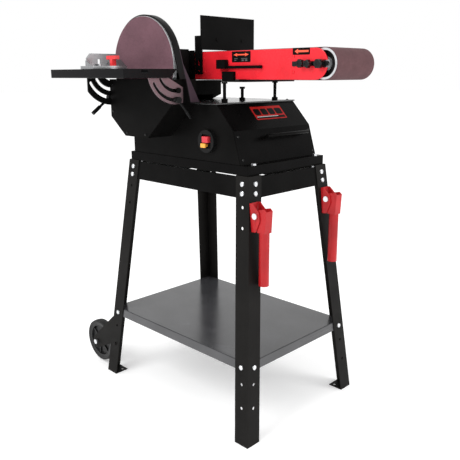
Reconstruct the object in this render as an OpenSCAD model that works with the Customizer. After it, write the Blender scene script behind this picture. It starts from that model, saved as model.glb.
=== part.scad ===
// Belt and disc sander on a splayed steel stand.
// Origin: on the floor, at the centre of the four foot holes. +X points along the belt arm,
// -Y is the side with the disc and the switch, +Z is up. Millimetres.

/* [Stand] */
// Height of the legs
stand_h = 706; // [650:1:760]
// Half length of the stand at the floor, along X
foot_half_x = 319; // [300:1:340]
// Half width of the stand at the floor, along Y
foot_half_y = 238; // [225:1:255]
// Half length of the stand at the leg tops
top_half_x = 250; // [246:1:256]
// Half width of the stand at the leg tops
top_half_y = 161; // [160:0.5:166]
// Width of each leg flange
leg_w = 46.5; // [42:0.5:50]
// Thickness of the leg steel
leg_t = 2.5; // [2:0.5:3]
// Height of the aprons
apron_h = 53; // [48:1:60]
// Height of the top of the shelf
shelf_z = 226; // [215:1:300]
// Depth of the shelf rim
shelf_rim = 25; // [22:1:35]
// Radius of the transport wheels
wheel_r = 70; // [60:1:71]

/* [Cabinet] */
// Height of the base tray, standing on the legs
tray_h = 25; // [20:1:30]
// Half length of the base tray
tray_half_x = 243; // [240:1:248]
// Half width of the base tray
tray_half_y = 159; // [158:0.5:160]
// Half width of the cabinet
cab_half_y = 157; // [150:1:157]
// Height of the top plate's upper face above the tray
cab_h = 153; // [150:1:156]
// Sheet metal thickness
sheet = 2; // [1.5:0.5:2.5]

/* [Disc] */
// Diameter of the sanding disc
disc_d = 254; // [240:1:256]
// Height of the spindle axis above the top plate
axis_up = 95; // [93:1:97]
// Length of the disc table along X
table_w = 334; // [320:1:340]
// Depth of the disc table, from front edge to rear edge
table_d = 164; // [150:1:170]
// Thickness of the table edge
table_t = 22; // [20:1:24]

/* [Belt] */
// Width of the sanding belt
belt_w = 152.4; // [140:0.1:154]
// Inside length of the sanding belt loop
belt_loop = 1219; // [1200:1:1240]
// Diameter of the two drums
drum_d = 71; // [68:0.5:72]

/* [Hidden] */
$fn = 64;
eps = 0.01;

// stand
theta_x = atan((foot_half_x - top_half_x) / stand_h);
theta_y = atan((foot_half_y - top_half_y) / stand_h);
apron_z = stand_h - 4;
bolt_in = 23.5;
bolt_hole_r = 4.3;
apron_bolts_z = [stand_h - 20, stand_h - 44];
shelf_bolt_z = shelf_z - 15;
spare_low_z = [165, 101];
spare_high_z = [627, 574];
tab = 46;
foot_hole_x = foot_half_x - 34;
foot_hole_y = foot_half_y - 34;
foot_hole_r = 4.5;

// transport wheels and carrying handles
wheel_x = -389;
wheel_z = 77;
wheel_w = 30;
wheel_near_y = 221;
wheel_axle_r = 6;
handle_z = 609;
handle_in = 21;
handle_pin_n = 18;
handle_pin_r = 5;

// cabinet
tray_z = stand_h + tray_h;
cab_left = -228;
cab_right = 217;
cab_break_x = 191;
cab_break_z = tray_z + 84.5;
cab_top_x = 130;
plate_t = 4;
plate_z = tray_z + cab_h;
shell_top = plate_z - plate_t;
base_bolt_x = 235.5;
base_bolt_y = 128;

// spindle, disc and pulleys
axis_x = -82;
axis_z = plate_z + axis_up;
disc_y = -227;
disc_r = disc_d / 2;
disc_t = 12;
grit_t = 1.5;
shaft_r = 10;
run_gap = 0.03;
bearing_r = 20;
bearing_w = 14;
bearing_y = [-160, -130];
pulley_y = [-191, -171];
driven_r = 36;
motor_pulley_r = 27;
motor_z = tray_z + 91;
motor_r = 55;
rotor_r = 9.5;
vbelt_t = 4;
face_gap = 0.3;

// guard and lower housing of the disc
guard_r = disc_r + 4;
guard_t = 2.5;
guard_y = [-222, -203];
house_x = [axis_x - 141, axis_x + 136];
house_y = disc_y - 11;
house_top = 944;
house_low = 788;
flare_foot = [84, plate_z];
flare_a = 16.7;

// belt arm
drum_r = drum_d / 2;
idler_x = axis_x + (belt_loop - PI * drum_d) / 2;
belt_y = -89;
belt_t = 1.4;
frame_y = [belt_y + 3, belt_y + belt_w - 3.4];
frame_h = 60;
near_plate = [-94, -91];
far_plate = [66, 69];
side_h = 72;
nose_x = idler_x - 23;
arm_start = -24;
journal_r = 24;
bracket_y = [-100, -94];
link_y = [-97.3, -94.3];
lever_x = 228;
lever_z = axis_z - 5;
knob_x = [idler_x - 57, idler_x - 36];
stop_x = [10, 14];
stop_bolt_z = [axis_z - 5, axis_z + 19];
post_near = [102, -99];
post_far = [118, 88];
rest_z = [936.5, 941];

// disc table and mitre gauge
table_x = [66 - table_w, 66];
table_y = [disc_y - 5 - table_d, disc_y - 5];
table_z = axis_z - 9;
table_top_t = 7;
pivot_y = table_y[1];
quad_r = [98, 88];
quad_front = [78, 110];
quad_t = 4;
slot_r = [54, 77];
slot_w = 9;
quad_x = [house_x[0] - 0.5 - quad_t, house_x[1] + 0.5];
lock_angle = [98, 90];
mitre_y = -334;
mitre_slot_w = 19.4;
mitre_bar_w = 19;
mitre_bar_t = 9.5;
mitre_x = -126;
mitre_knob_x = mitre_x + 62;

// switch
switch_x = 100;
switch_z = tray_z + 54;

// ---- helpers ----

function half_x(z) = foot_half_x - (foot_half_x - top_half_x) * z / stand_h;
function half_y(z) = foot_half_y - (foot_half_y - top_half_y) * z / stand_h;
// half length of side k at height z; sides are 0 front, 1 right, 2 back, 3 left
function run(k, z) = k % 2 == 0 ? half_x(z) : half_y(z);
function tilt(k) = k % 2 == 0 ? theta_y : theta_x;
// distance up the slanted side k for a height z
function up(k, z) = z / cos(tilt(k));

// a 2D outline in X and Z, extruded from y0 to y1
module xz(y0, y1) {
    translate([0, y1, 0]) rotate([90, 0, 0]) linear_extrude(y1 - y0) children();
}
// a 2D outline in Y and Z, extruded from x0 to x1
module yz(x0, x1) {
    translate([x0, 0, 0]) rotate([90, 0, 90]) linear_extrude(x1 - x0) children();
}
module ycyl(r, y0, y1, x, z) {
    translate([x, y1, z]) rotate([90, 0, 0]) cylinder(r = r, h = y1 - y0);
}
module xcyl(r, x0, x1, y, z) {
    translate([x0, y, z]) rotate([0, 90, 0]) cylinder(r = r, h = x1 - x0);
}
module zcyl(r, z0, z1, x, y) {
    translate([x, y, z0]) cylinder(r = r, h = z1 - z0);
}
module hex_y(r, y0, y1, x, z) {
    translate([x, y1, z]) rotate([90, 0, 0]) cylinder(r = r, h = y1 - y0, $fn = 6);
}
module hex_z(r, z0, z1, x, y) {
    translate([x, y, z0]) cylinder(r = r, h = z1 - z0, $fn = 6);
}
module box(x, y, z) {
    translate([x[0], y[0], z[0]]) cube([x[1] - x[0], y[1] - y[0], z[1] - z[0]]);
}
// the plane of side k of the stand: x runs along the side, y up the slope, z outward
module side(k) {
    rotate([0, 0, 90 * k])
        translate([0, k % 2 == 0 ? -foot_half_y : -foot_half_x, 0])
            rotate([90 - tilt(k), 0, 0]) children();
}
// a sheet in side k, its outer face a distance inset behind the side's plane
module side_sheet(k, inset, t) {
    side(k) translate([0, 0, -inset - t]) linear_extrude(t) children();
}
module stadium(a, b, r) {
    for (p = [a, b]) translate(p) circle(r);
    translate([a[0], a[1] - r]) square([b[0] - a[0], 2 * r]);
}

// ---- stand ----

module flange_2d(k, s) {
    z0 = -10;
    z1 = stand_h + 10;
    polygon([[s * run(k, z0), up(k, z0)], [s * run(k, z1), up(k, z1)],
        [s * (run(k, z1) - leg_w), up(k, z1)], [s * (run(k, z0) - leg_w), up(k, z0)]]);
}
module flange_holes(k, s) {
    for (z = concat(apron_bolts_z, [shelf_bolt_z], spare_low_z, spare_high_z))
        side(k) translate([s * (run(k, z) - bolt_in), up(k, z), -3 * leg_t])
            cylinder(r = bolt_hole_r, h = 4 * leg_t);
}
// the leg between side k and the next side
module leg(k) {
    n = (k + 1) % 4;
    sx = k == 0 || k == 1 ? 1 : -1;
    sy = k == 0 || k == 3 ? -1 : 1;
    color("#2b2927") difference() {
        union() {
            intersection() {
                union() {
                    side_sheet(k, 0, leg_t) flange_2d(k, 1);
                    side_sheet(n, 0, leg_t) flange_2d(n, -1);
                }
                translate([-500, -500, 0]) cube([1000, 1000, stand_h]);
            }
            // foot tab and top tab, both turned inward
            scale([sx, sy, 1]) box([foot_half_x - tab, foot_half_x - 2], [foot_half_y - tab,
                foot_half_y - 2], [0, leg_t]);
            scale([sx, sy, 1]) box([top_half_x - tab, top_half_x - 2], [top_half_y - tab,
                top_half_y - 2], [stand_h - leg_t, stand_h]);
        }
        flange_holes(k, 1);
        flange_holes(n, -1);
        zcyl(foot_hole_r, -1, leg_t + 1, sx * foot_hole_x, sy * foot_hole_y);
        zcyl(bolt_hole_r, stand_h - 5, stand_h + 1, sx * base_bolt_x, sy * base_bolt_y);
    }
}
module leg_front_right() leg(0);
module leg_back_right() leg(1);
module leg_back_left() leg(2);
module leg_front_left() leg(3);

module apron(k) {
    gap = leg_t + (k % 2 == 0 ? 0.8 : 3.6);
    z0 = stand_h - apron_h - 4;
    color("#161616") difference() {
        union() {
            side_sheet(k, leg_t, sheet) polygon([for (s = [1, -1], z = [z0, apron_z])
                [s * (run(k, s > 0 ? z : z0 + apron_z - z) - gap),
                    up(k, s > 0 ? z : z0 + apron_z - z)]]);
            side(k) translate([-run(k, apron_z) + 60, up(k, apron_z) - sheet, -leg_t - 20])
                cube([2 * run(k, apron_z) - 120, sheet, 20]);
        }
        for (z = apron_bolts_z, s = [1, -1])
            side(k) translate([s * (run(k, z) - bolt_in), up(k, z), -10])
                cylinder(r = bolt_hole_r, h = 12);
    }
}
module aprons_long() {
    apron(0);
    apron(2);
}
module aprons_short() {
    apron(1);
    apron(3);
}
module shelf() {
    z0 = shelf_z - shelf_rim;
    hx = half_x(shelf_z) - leg_t / cos(theta_x) - 0.1;
    hy = half_y(shelf_z) - leg_t / cos(theta_y) - 0.1;
    color("#3c3c40") difference() {
        union() {
            // the rolled edge stands in a little from the legs
            translate([1.5 - hx, 1.5 - hy, shelf_z - sheet]) cube([2 * hx - 3, 2 * hy - 3, sheet]);
            for (k = [0:3]) side_sheet(k, leg_t + 0.1, sheet) polygon([
                [-run(k, z0) + leg_t + 0.3, up(k, z0)], [run(k, z0) - leg_t - 0.3, up(k, z0)],
                [run(k, shelf_z) - leg_t - 0.3, up(k, shelf_z) - sheet / 2],
                [-run(k, shelf_z) + leg_t + 0.3, up(k, shelf_z) - sheet / 2]]);
        }
        for (k = [0:3], s = [1, -1])
            side(k) translate([s * (run(k, shelf_bolt_z) - bolt_in), up(k, shelf_bolt_z), -10])
                cylinder(r = bolt_hole_r, h = 12);
    }
}
// button-head bolt and nut through a leg and the sheet behind it
module stand_bolt(grip) {
    rotate_extrude() polygon([[0, -grip], [4, -grip], [4, 0], [7, 0], [6.4, 2.6], [4, 4], [0, 4.4]]);
    translate([0, 0, -grip - 6]) cylinder(r = 7.2, h = 6, $fn = 6);
}
module stand_bolts() {
    color("#b9bcc0") {
        for (k = [0:3], s = [1, -1], z = concat(apron_bolts_z, [shelf_bolt_z]))
            side(k) translate([s * (run(k, z) - bolt_in), up(k, z), 0])
                stand_bolt(leg_t + sheet + (z == shelf_bolt_z ? 0.1 : 0));
        for (sx = [1, -1], sy = [1, -1]) {
            hex_z(7.2, tray_z, tray_z + 5, sx * base_bolt_x, sy * base_bolt_y);
            zcyl(4, stand_h - 10, tray_z, sx * base_bolt_x, sy * base_bolt_y);
            hex_z(7.2, stand_h - leg_t - 6, stand_h - leg_t, sx * base_bolt_x, sy * base_bolt_y);
        }
    }
}
module base_tray() {
    color("#1a1a1a") difference() {
        box([-tray_half_x, tray_half_x], [-tray_half_y, tray_half_y], [stand_h, tray_z]);
        box([-tray_half_x + sheet, tray_half_x - sheet], [-tray_half_y + sheet, tray_half_y - sheet],
            [stand_h - 1, tray_z - sheet]);
        box([-185, 185], [-110, 110], [stand_h, tray_z + 1]);
        for (sx = [1, -1], sy = [1, -1])
            zcyl(bolt_hole_r, stand_h, tray_z + 1, sx * base_bolt_x, sy * base_bolt_y);
    }
}

// ---- wheels and handles ----

module wheel_bracket() {
    color("#2b2927") {
        difference() {
            union() {
                // plate in line with the front of the leg, and its return flange on the leg's side
                side(0) translate([0, 0, -3]) linear_extrude(3) hull() {
                    translate([wheel_x, up(0, wheel_z)]) circle(22);
                    for (z = [96, 188]) translate([-half_x(z) - 2.2, z]) circle(2);
                }
                side(3) linear_extrude(3) polygon([for (z = [96, 188], e = [0, 40])
                    [half_y(z) - (z > 100 ? 40 - e : e), z]]);
            }
            ycyl(wheel_axle_r, -260, -200, wheel_x, wheel_z);
        }
        for (z = spare_low_z) side(3) translate([half_y(z) - bolt_in, up(3, z), 3])
            cylinder(r = 6.5, h = 3.5);
        side(0) translate([bolt_in - half_x(spare_low_z[1]), up(0, spare_low_z[1]), 0])
            cylinder(r = 5, h = 3);
    }
}
module wheel_brackets() {
    wheel_bracket();
    mirror([0, 1, 0]) wheel_bracket();
}
module wheel_axle() {
    ycyl(wheel_axle_r, -233, -wheel_near_y + wheel_w + 3, wheel_x, wheel_z);
    hex_y(9, -236.6, -231.6, wheel_x, wheel_z);
    ycyl(9, -225.4, -wheel_near_y - 0.3, wheel_x, wheel_z);
    ycyl(9, -wheel_near_y + wheel_w + 0.3, -wheel_near_y + wheel_w + 5, wheel_x, wheel_z);
}
module wheel_axles() {
    color("#b9bcc0") {
        wheel_axle();
        mirror([0, 1, 0]) wheel_axle();
    }
}
module wheel() {
    h = wheel_w / 2;
    rim = wheel_r - 15;
    translate([wheel_x, -wheel_near_y + h, wheel_z]) rotate([90, 0, 0]) {
        color("#232323") rotate_extrude() polygon([[wheel_axle_r + 0.06, -h], [15, -h], [17, -6],
            [rim - 6, -4], [rim - 4, -11], [rim, -11], [rim, 11], [rim - 4, 11], [rim - 6, 4],
            [17, 6], [15, h], [wheel_axle_r + 0.06, h]]);
        color("#101010") rotate_extrude() polygon([[rim, -11], [wheel_r - 5, -h + 2],
            [wheel_r - 1.5, -9], [wheel_r, -4], [wheel_r, 4], [wheel_r - 1.5, 9],
            [wheel_r - 5, h - 2], [rim, 11]]);
    }
}
module wheel_front() wheel();
module wheel_back() mirror([0, 1, 0]) wheel();

// the frame of a carrying handle: x along Y, y up the leg, z outward
module handle_frame() {
    side(1) translate([-half_y(handle_z) + handle_in, up(1, handle_z), 0]) children();
}
// an outline given as up and outward distances, between x0 and x1
module cheek(x0, x1, pts) {
    yz(x0, x1) polygon(pts);
}
module handle_bracket() {
    outline = [[-42, 0], [32, 0], [32, 9], [9, 30], [-12, 31], [-42, 15]];
    handle_frame() difference() {
        union() {
            translate([-16.5, -42, 0]) cube([33, 74, 3]);
            for (x = [-16.5, 13.5]) cheek(x, x + 3, outline);
        }
        translate([-30, 0, handle_pin_n]) rotate([0, 90, 0]) cylinder(r = handle_pin_r, h = 60);
    }
}
module handle_brackets() {
    color("#d5202c") {
        handle_bracket();
        mirror([0, 1, 0]) handle_bracket();
    }
}
module handle_pin() {
    handle_frame() translate([0, 0, handle_pin_n]) rotate([0, 90, 0]) {
        translate([0, 0, -19.5]) cylinder(r = handle_pin_r, h = 39);
        for (z = [-21.5, 16.5]) translate([0, 0, z]) cylinder(r = 8, h = 5);
    }
}
module handle_pins() {
    color("#b9bcc0") {
        handle_pin();
        mirror([0, 1, 0]) handle_pin();
    }
}
// hangs plumb from its pin
module handle() {
    outline = [[-40, 21], [-6, 8], [8, 8], [15, 20], [20, 42], [14, 50], [-40, 47]];
    web = [[-40, 44], [14, 47], [14, 50], [-40, 47]];
    tube_n = 34;
    color("#d5202c") handle_frame() translate([0, 0, handle_pin_n]) rotate([theta_x, 0, 0])
        translate([0, 0, -handle_pin_n]) difference() {
            union() {
                for (x = [-13, 10]) cheek(x, x + 3, outline);
                cheek(-13, 13, web);
                translate([-13, -43, 21]) cube([26, 3, 26]);
                translate([0, -42, tube_n]) rotate([90, 0, 0]) difference() {
                    cylinder(r = 13.5, h = 142);
                    translate([0, 0, -1]) cylinder(r = 11.5, h = 140);
                }
            }
            translate([-30, 0, handle_pin_n]) rotate([0, 90, 0])
                cylinder(r = handle_pin_r + 0.05, h = 60);
        }
}
module handle_front() handle();
module handle_back() mirror([0, 1, 0]) handle();

// ---- cabinet ----

module cab_profile(dx) {
    polygon([[cab_left, tray_z], [cab_right + dx, tray_z], [cab_break_x + dx, cab_break_z],
        [cab_top_x + dx, shell_top], [cab_left, shell_top]]);
}
module cabinet_shell() {
    wall = cab_half_y - sheet;
    color("#1c1b1a") difference() {
        union() {
            difference() {
                xz(-cab_half_y, cab_half_y) cab_profile(-2.2);
                box([cab_left + sheet, 400], [-wall, wall], [tray_z - 1, shell_top + 1]);
            }
            // inward lips along the foot and the top of both side walls
            for (y = [[-wall - eps, -wall + 16], [wall - 16, wall + eps]]) {
                box([cab_left + sheet, 205], y, [tray_z, tray_z + sheet]);
                box([cab_left + sheet, 120], y, [shell_top - sheet, shell_top]);
            }
        }
        ycyl(13, -200, -140, axis_x, motor_z);
        ycyl(31.75, -200, 200, -180, motor_z);
        box([switch_x - 16, switch_x + 16], [-200, -140], [switch_z - 12, switch_z + 12]);
    }
}
module cabinet_cover() {
    color("#121212") xz(-cab_half_y, cab_half_y) difference() {
        cab_profile(0);
        cab_profile(-2.2);
        translate([-400, tray_z - 1]) square([500, 400]);
    }
}
module top_plate() {
    color("#1e1e1e") difference() {
        box([cab_left - 3, cab_top_x + 4], [-cab_half_y - 3, cab_half_y + 3], [shell_top, plate_z]);
        for (p = [post_near, post_far, [60, 14]]) zcyl(5, shell_top - 1, plate_z + 1, p[0], p[1]);
    }
}
module cover_pull() {
    // bar handle on the lower slope of the cover
    lean = atan((cab_right - cab_break_x) / (cab_break_z - tray_z));
    color("#0e0e0e") translate([cab_break_x + 7, 0, cab_break_z - 23]) rotate([0, -lean, 0]) {
        for (y = [-56, 106]) translate([0, y, 0]) rotate([0, 90, 0]) cylinder(r = 4, h = 23);
        translate([24, -61, 0]) rotate([-90, 0, 0]) cylinder(r = 5, h = 172);
    }
}
module motor() {
    color("#6d7176") difference() {
        union() {
            ycyl(motor_r, -150, 30, axis_x, motor_z);
            ycyl(motor_r - 6, 30, 46, axis_x, motor_z);
            box([axis_x - 45, axis_x + 45], [-120, 0], [tray_z, motor_z - 30]);
            box([axis_x - 70, axis_x + 70], [-125, 5], [tray_z, tray_z + 4]);
        }
        ycyl(rotor_r + run_gap, -160, 46 - 6, axis_x, motor_z);
    }
}
module motor_rotor() {
    color("#9a9da1") {
        ycyl(rotor_r, -196, 36, axis_x, motor_z);
        ycyl(motor_pulley_r, pulley_y[0], pulley_y[1], axis_x, motor_z);
        for (y = [pulley_y[0] - 2, pulley_y[1]]) ycyl(motor_pulley_r + 5, y, y + 2, axis_x, motor_z);
    }
}
module belt_band(r0, r1) {
    hull() {
        translate([axis_x, motor_z]) circle(r0, $fn = 96);
        translate([axis_x, axis_z]) circle(r1, $fn = 96);
    }
}
module drive_belt() {
    color("#151515") xz(pulley_y[0] + 1, pulley_y[1] - 1) difference() {
        belt_band(motor_pulley_r + face_gap + vbelt_t, driven_r + face_gap + vbelt_t);
        belt_band(motor_pulley_r + face_gap, driven_r + face_gap);
    }
}

// ---- spindle ----

module main_shaft() {
    color("#b4b8bd") {
        ycyl(shaft_r, disc_y + 4, 70, axis_x, axis_z);
    }
}
module driven_pulley() {
    color("#85888c") difference() {
        union() {
            ycyl(driven_r, pulley_y[0], pulley_y[1], axis_x, axis_z);
            for (y = [pulley_y[0] - 2, pulley_y[1]]) ycyl(driven_r + 5, y, y + 2, axis_x, axis_z);
        }
        ycyl(shaft_r, -300, 0, axis_x, axis_z);
    }
}
module disc_plate() {
    back = disc_y + grit_t + disc_t;
    color("#d9dcde") difference() {
        union() {
            ycyl(disc_r, disc_y + grit_t, back, axis_x, axis_z);
            ycyl(18, back, back + 9, axis_x, axis_z);
        }
        ycyl(shaft_r, disc_y + 4, 0, axis_x, axis_z);
    }
}
module abrasive_disc() {
    color("#6f4f57") ycyl(disc_r - 0.8, disc_y, disc_y + grit_t, axis_x, axis_z);
}
module drive_drum() {
    color("#c9ccd0") difference() {
        ycyl(drum_r, belt_y - 0.5, belt_y + belt_w + 0.5, axis_x, axis_z);
        ycyl(shaft_r, -300, 300, axis_x, axis_z);
    }
}
module shaft_bearings() {
    color("#a5a9ae") for (y = bearing_y) difference() {
        ycyl(bearing_r, y, y + bearing_w, axis_x, axis_z);
        ycyl(shaft_r + run_gap, y - 1, y + bearing_w + 1, axis_x, axis_z);
    }
}
// bearing block beside the pulley; the belt arm turns on its round nose
module pedestals() {
    y = [bearing_y[0], bearing_y[1] + bearing_w];
    color("#232323") difference() {
        union() {
            box([axis_x - 42, axis_x + 42], y, [plate_z, plate_z + 8]);
            xz(y[0], y[1]) polygon([[axis_x - 32, plate_z], [axis_x + 32, plate_z],
                [axis_x + 22, axis_z], [axis_x - 22, axis_z]]);
            ycyl(27, y[0], y[1], axis_x, axis_z);
            ycyl(journal_r, y[1] - eps, -93.5, axis_x, axis_z);
        }
        ycyl(bearing_r, y[0] - 1, y[1], axis_x, axis_z);
        ycyl(shaft_r + 2, -170, -80, axis_x, axis_z);
    }
}

// ---- disc guard and housings ----

// outside of the guard: round over the disc, straight on the left, flared on the right
module guard_outline(g) {
    difference() {
        union() {
            translate([axis_x, axis_z]) circle(guard_r - g, $fn = 128);
            translate([axis_x - guard_r + g, house_top]) square([guard_r, axis_z - house_top]);
            polygon([[axis_x, house_top], [axis_x, axis_z + 40], flare_top(g), flare_low(g)]);
        }
        translate([axis_x - 200, 500]) square([400, house_top + 0.5 - 500]);
    }
}
// the straight right side, tangent to the guard, at a depth g under its outer face
function flare_top(g) = [axis_x + (guard_r - g) * cos(flare_a), axis_z + (guard_r - g) * sin(flare_a)];
function flare_low(g) = [flare_foot[0] - g / cos(flare_a), flare_foot[1]];
module disc_guard() {
    color("#191919") difference() {
        union() {
            xz(guard_y[0], guard_y[1] + guard_t) difference() {
                guard_outline(0);
                guard_outline(guard_t);
                translate([axis_x - guard_r + guard_t, 800]) square([2 * guard_r - 12, 150]);
            }
            // back plate, notched where the right quadrant swings up
            xz(guard_y[1], guard_y[1] + guard_t) difference() {
                guard_outline(guard_t / 2);
                translate([house_x[1] - 2, 940]) square([7.2, 20]);
            }
            // side sheet that carries the guard, bolted down to the top plate
            intersection() {
                xz(guard_y[1], guard_y[1] + 45) polygon([flare_top(0.5), flare_low(0.5),
                    flare_low(3), flare_top(3)]);
                yz(0, 120) polygon([[guard_y[1] - 7, plate_z - 1], [guard_y[1] + 32, plate_z - 1],
                    [guard_y[1] + 2, plate_z + 102], [guard_y[1] - 7, plate_z + 102]]);
            }
            box([flare_foot[0] - 3, flare_foot[0] + 17], [guard_y[1], -145], [plate_z,
                plate_z + 2.5]);
        }
        ycyl(22, -230, -180, axis_x, axis_z);
    }
    color("#b9bcc0") hex_z(6.5, plate_z + 2.5, plate_z + 6.5, flare_foot[0] + 9, -153);
}
module house_outline(t) {
    x0 = house_x[0] + t;
    x1 = house_x[1] - t;
    polygon([[x0, house_top + t], [x0, 840 + 0.4 * t], [axis_x - 76 + 0.4 * t, house_low + t],
        [axis_x + 26 - 0.4 * t, house_low + t], [x1, 884 + 0.4 * t], [x1, house_top + t]]);
}
module disc_housing() {
    color("#242426") difference() {
        xz(house_y, -cab_half_y) house_outline(0);
        xz(house_y + sheet, -cab_half_y + 1) house_outline(sheet);
        // seat of the top plate's lip
        box([cab_left - 3, cab_top_x + 4], [-cab_half_y - 3, -cab_half_y + 1], [shell_top, plate_z]);
    }
    // fixed studs that the table's quadrants are clamped to
    color("#b9bcc0") for (side = [0, 1], i = [0, 1]) {
        a = lock_angle[i];
        x0 = side == 0 ? quad_x[0] - (i == 0 ? 5 : 3) : house_x[1];
        x1 = side == 0 ? house_x[0] : quad_x[1] + quad_t + (i == 0 ? 5 : 3);
        y = pivot_y - slot_r[i] * cos(a);
        z = table_z - slot_r[i] * sin(a);
        xcyl(3.6, x0, x1, y, z);
        if (i == 0) xcyl(7, side == 0 ? x0 : x1 - 4.4, side == 0 ? x0 + 4.4 : x1, y, z);
    }
}
module pulley_cover() {
    x = [axis_x - 55, axis_x + 60];
    y = [guard_y[1] + guard_t, -112];
    color("#1b1b1b") difference() {
        box(x, y, [plate_z, axis_z + 44]);
        box([x[0] + sheet, x[1] - sheet], [y[0] + sheet, y[1] - sheet], [plate_z - 1,
            axis_z + 44 - sheet]);
        ycyl(22, -300, -190, axis_x, axis_z);
        ycyl(journal_r + 1, -120, 0, axis_x, axis_z);
    }
}
module dust_ports() {
    color("#1d1d1d") {
        // duct from the disc housing through the cabinet to the hose spigot at the back
        difference() {
            union() {
                ycyl(31.75, -cab_half_y, cab_half_y + 45, -180, motor_z);
                ycyl(42, cab_half_y, cab_half_y + 3, -180, motor_z);
            }
            ycyl(29.5, -400, 400, -180, motor_z);
        }
        // spigot of the belt hood, on its left side
        difference() {
            union() {
                xcyl(25.4, -185, -135, -13, plate_z + 28);
                box([-138, -135], [-45, 19], [plate_z + 1, plate_z + 55]);
            }
            xcyl(23.4, -190, -130, -13, plate_z + 28);
        }
    }
}
// scoop under the drive drum, open at the top and sloped at its foot
module belt_hood() {
    top = axis_z - drum_r - 4;
    color("#171717") difference() {
        xz(belt_y + 1, belt_y + belt_w - 1) polygon([[-135, plate_z], [-110, plate_z],
            [-74, plate_z + 14], [-74, top], [-135, top]]);
        xz(belt_y + 1 + sheet, belt_y + belt_w - 1 - sheet) polygon([[-133, plate_z + 2],
            [-110, plate_z + 2], [-76, plate_z + 15.5], [-76, top + 9], [-133, top + 9]]);
        xcyl(23.4, -140, -130, -13, plate_z + 28);
    }
}

// ---- belt arm ----

module arm_frame() {
    z = [axis_z - frame_h / 2, axis_z + frame_h / 2];
    x = [-34, 366];
    color("#2a2a2c") difference() {
        union() {
            box(x, frame_y, z);
            for (px = [20, 330], pz = [axis_z - 18, axis_z + 18]) {
                ycyl(8, near_plate[1], frame_y[0] + 1, px, pz);
                ycyl(8, frame_y[1] - 1, far_plate[0], px, pz);
            }
        }
        box([x[0] - 1, x[1] + 1], [frame_y[0] + 3, frame_y[1] - 3], [z[0] + 3, z[1] - 3]);
    }
}
module side_outline() {
    translate([arm_start, axis_z - side_h / 2]) square([nose_x - arm_start, side_h]);
    translate([nose_x, axis_z]) circle(side_h / 2);
}
// the slot that the idler axle slides in
module axle_slot() {
    translate([idler_x - 22, axis_z - 8.4]) square([60, 16.8]);
}
module arm_side_plate() {
    color("#f03040") xz(near_plate[0], near_plate[1]) difference() {
        side_outline();
        axle_slot();
    }
}
module arm_far_plate() {
    color("#1b1b1c") {
        xz(far_plate[0], far_plate[1]) difference() {
            side_outline();
            axle_slot();
        }
        // seat of the tension spring
        box([266, 272], [far_plate[1], far_plate[1] + 24], [axis_z - 12, axis_z + 12]);
    }
}
module arm_pivots() {
    color("#151515") {
        xz(bracket_y[0], bracket_y[1]) difference() {
            union() {
                translate([axis_x, axis_z]) circle(41);
                translate([axis_x, axis_z - 41]) square([arm_start + 6 - axis_x, 82]);
            }
            translate([axis_x, axis_z]) circle(journal_r + 0.05);
        }
        for (z = [axis_z - 16, axis_z + 24]) hex_y(6.5, bracket_y[0] - 4, bracket_y[0], -32, z);
        // clamp bolts of the work stop
        for (z = stop_bolt_z) {
            ycyl(4, -102.6, near_plate[0], 0, z);
            ycyl(7, -102.6, -98.6, 0, z);
        }
        // rest under the belt that lands on the two posts, held by a block on each side
        box([88, 180], [-104, 98], rest_z);
        box([97, 138], [-104, near_plate[0]], [rest_z[1] - eps, axis_z - 16]);
        box([97, 138], [far_plate[1], far_plate[1] + 14], [rest_z[1] - eps, axis_z - 16]);
    }
}
module platen() {
    color("#55585c") box([-30, 366], frame_y, [axis_z + frame_h / 2, axis_z + drum_r - 0.2]);
}
module sanding_belt() {
    color("#8a6068") xz(belt_y, belt_y + belt_w) difference() {
        stadium([axis_x, axis_z], [idler_x, axis_z], drum_r + face_gap + belt_t, $fn = 128);
        stadium([axis_x, axis_z], [idler_x, axis_z], drum_r + face_gap, $fn = 128);
    }
}
module idler_axle() {
    color("#1c1c1d") {
        ycyl(8, -101, 80, idler_x, axis_z);
        // link bars outside both side plates
        box([idler_x - 88, idler_x + 16], link_y, [axis_z - 5, axis_z + 6]);
        box([idler_x - 88, idler_x + 16], [far_plate[1] + 0.3, far_plate[1] + 3.3],
            [axis_z - 8, axis_z + 8]);
        box([idler_x - 88, idler_x - 82], [far_plate[1] + 3.3 - eps, far_plate[1] + 24],
            [axis_z - 12, axis_z + 12]);
        ycyl(10, -107, link_y[0], idler_x - 5, axis_z);
        // push rod that runs in the spring tube
        xcyl(6.43, idler_x - 118, idler_x - 88, far_plate[1] + 14, axis_z);
    }
}
module idler_drum() {
    color("#cfd2d6") difference() {
        ycyl(drum_r, belt_y - 0.5, belt_y + belt_w + 0.5, idler_x, axis_z);
        ycyl(8.05, -300, 300, idler_x, axis_z);
        for (y = [[-100, belt_y + 9], [belt_y + belt_w - 9, 100]]) difference() {
            ycyl(drum_r - 5, y[0], y[1], idler_x, axis_z);
            ycyl(16, -200, 200, idler_x, axis_z);
        }
    }
}
module tension_lever() {
    color("#141414") {
        ycyl(4, -102, -94.3, lever_x, lever_z);
        box([lever_x - 136, lever_x], [-99.5, -96.5], [lever_z - 3.5, lever_z + 3.5]);
        box([lever_x - 146, lever_x - 115], [-110, -96.5], [lever_z - 4, lever_z + 19]);
    }
}
module spring_tube() {
    // closed tube that holds the belt tension spring and guides the push rod of the idler link
    color("#9fa3a8") difference() {
        xcyl(9, 272, idler_x - 100, far_plate[1] + 14, axis_z);
        xcyl(6.5, 275, idler_x, far_plate[1] + 14, axis_z);
    }
}
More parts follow.
